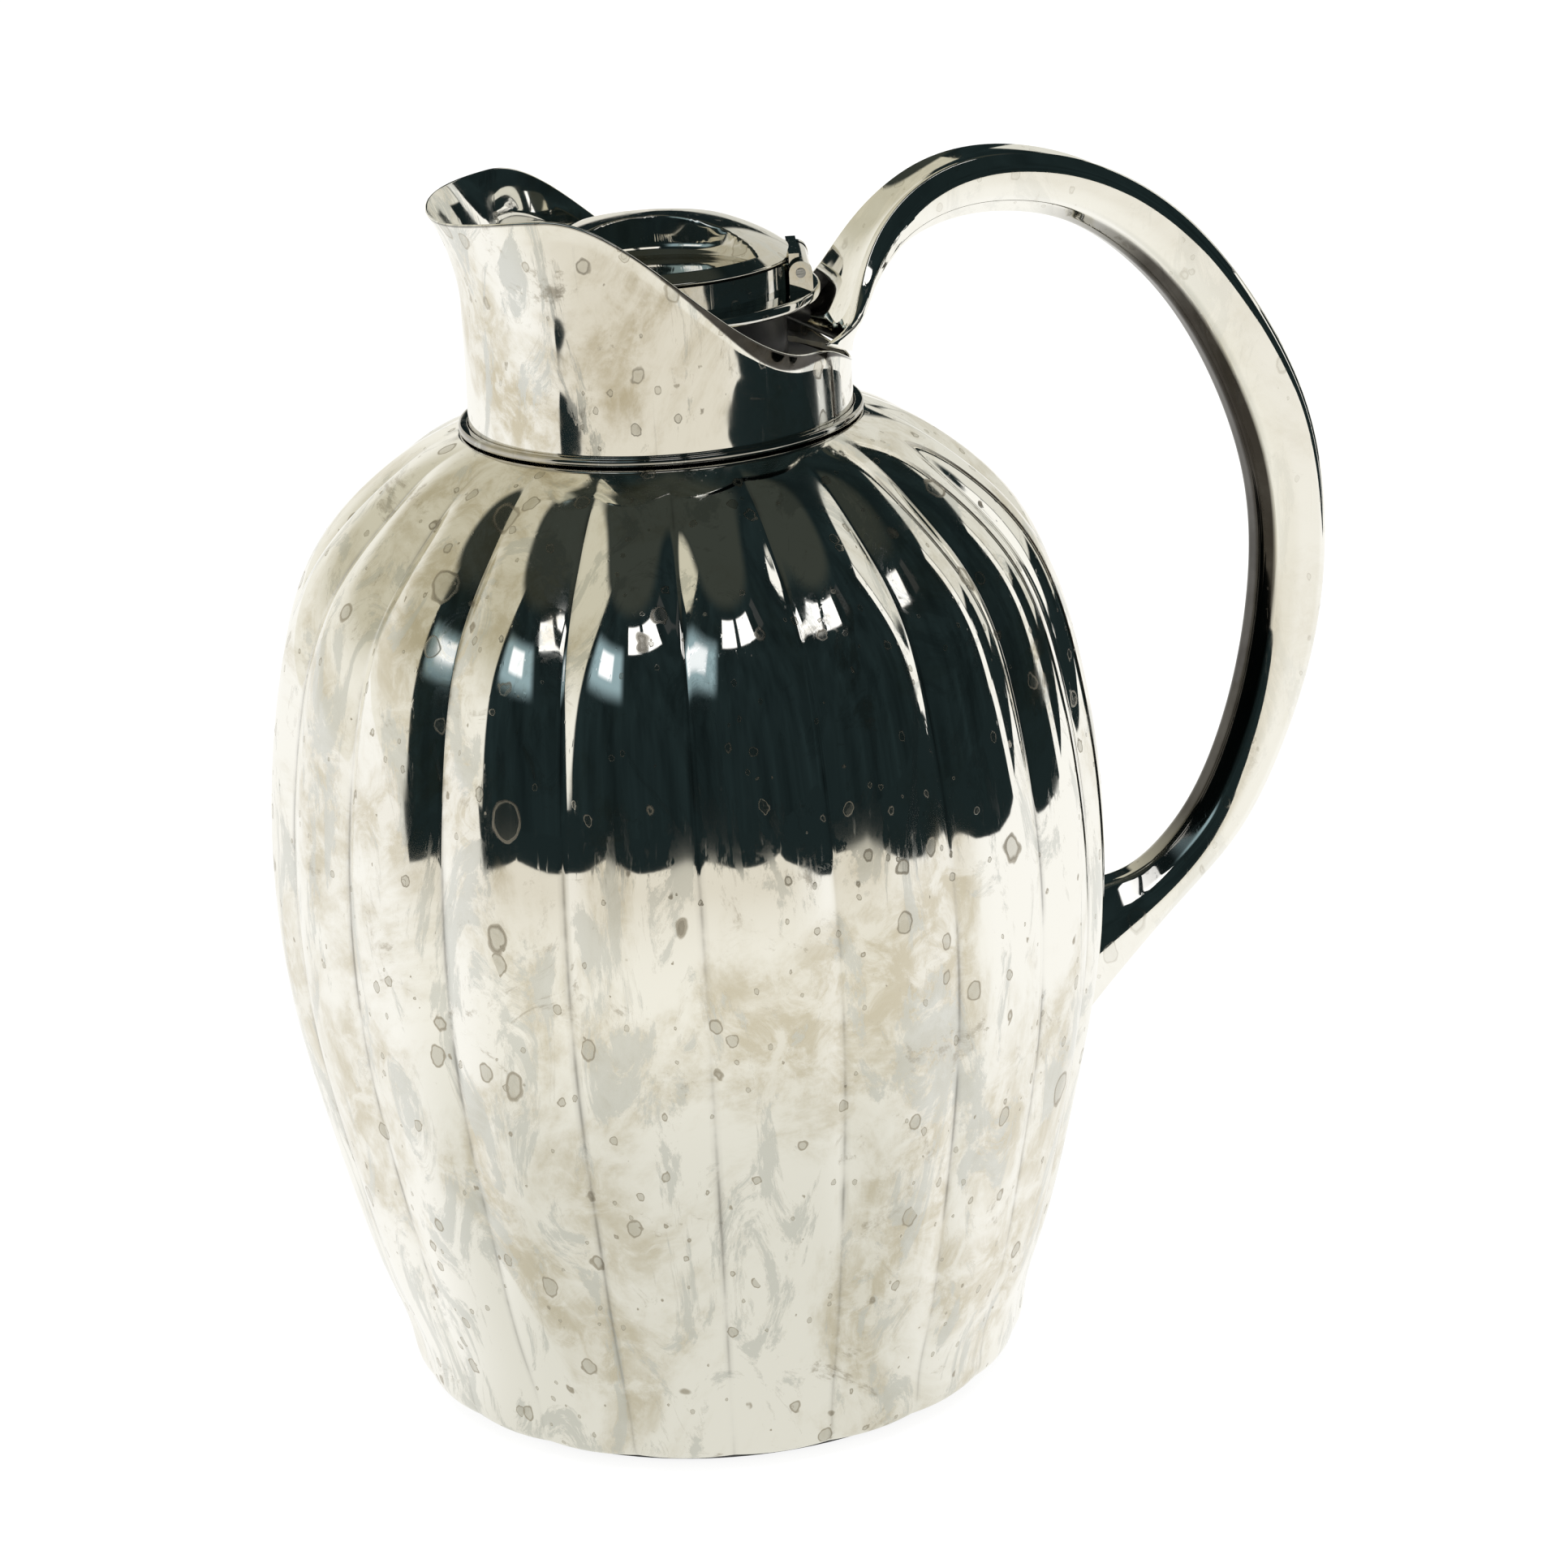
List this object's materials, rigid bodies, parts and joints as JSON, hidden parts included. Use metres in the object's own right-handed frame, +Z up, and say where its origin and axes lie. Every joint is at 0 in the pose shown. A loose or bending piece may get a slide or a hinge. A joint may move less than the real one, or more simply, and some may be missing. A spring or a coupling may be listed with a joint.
{
  "type": "insulated water pitcher",
  "caption": "Fluted silver-plated insulated pitcher with a spouted collar, a swept loop handle, a glass flask and a push-in stopper with a hinged domed lid.",
  "frame": {"origin": "centre of the foot pad's underside, on the surface the pitcher stands on", "axes": "+Z up, +X from the axis towards the handle, -X towards the spout"},
  "size_m": [0.2157, 0.1588, 0.234],
  "materials": {
    "silver_plate": "mirror-polished silver plate with light tarnish and water spots",
    "black_plastic": "moulded, satin",
    "black_rubber": "moulded, dull",
    "silvered_glass": "silvered on the vacuum side",
    "steel": "plain"
  },
  "bodies": {
    "pitcher": {"body_shell": "silver_plate", "neck_collar": "silver_plate", "collar_bead": "silver_plate", "handle": "silver_plate", "base_ring": "steel", "base_plate": "black_plastic", "base_screws": "steel", "foot_pad": "black_rubber", "flask_outer": "silvered_glass", "flask_inner": "silvered_glass", "flask_spacers": "black_rubber", "tip_cap": "black_rubber", "support_cup": "steel", "support_cushion": "black_rubber", "support_spring": "steel", "neck_seal": "black_rubber", "mouth_ring": "black_plastic"},
    "seal": {"stopper_seal": "black_rubber"},
    "stopper": {"stopper_plug": "black_plastic", "stopper_plate": "silver_plate", "stopper_drum": "silver_plate", "hinge_ears": "silver_plate", "hinge_pin": "steel"},
    "lid": {"lid_dome": "silver_plate", "lid_hinge_strap": "silver_plate", "lid_liner": "black_plastic", "lid_seal": "black_rubber"}
  },
  "joints": [
    {"name": "stopper_lift", "type": "slide", "parent": "pitcher", "child": "seal", "axis": [0, 0, 1], "range_m": [0, 0.075]},
    {"name": "stopper_turn", "type": "hinge", "parent": "seal", "child": "stopper", "pos_m": [0, 0, 0.2], "axis": [0, 0, 1], "continuous": true},
    {"name": "lid_hinge", "type": "hinge", "parent": "stopper", "child": "lid", "pos_m": [0.02567, -0.00884, 0.2173], "axis": [0.3256, 0.9455, 0], "range_deg": [0, 65]}
  ]
}
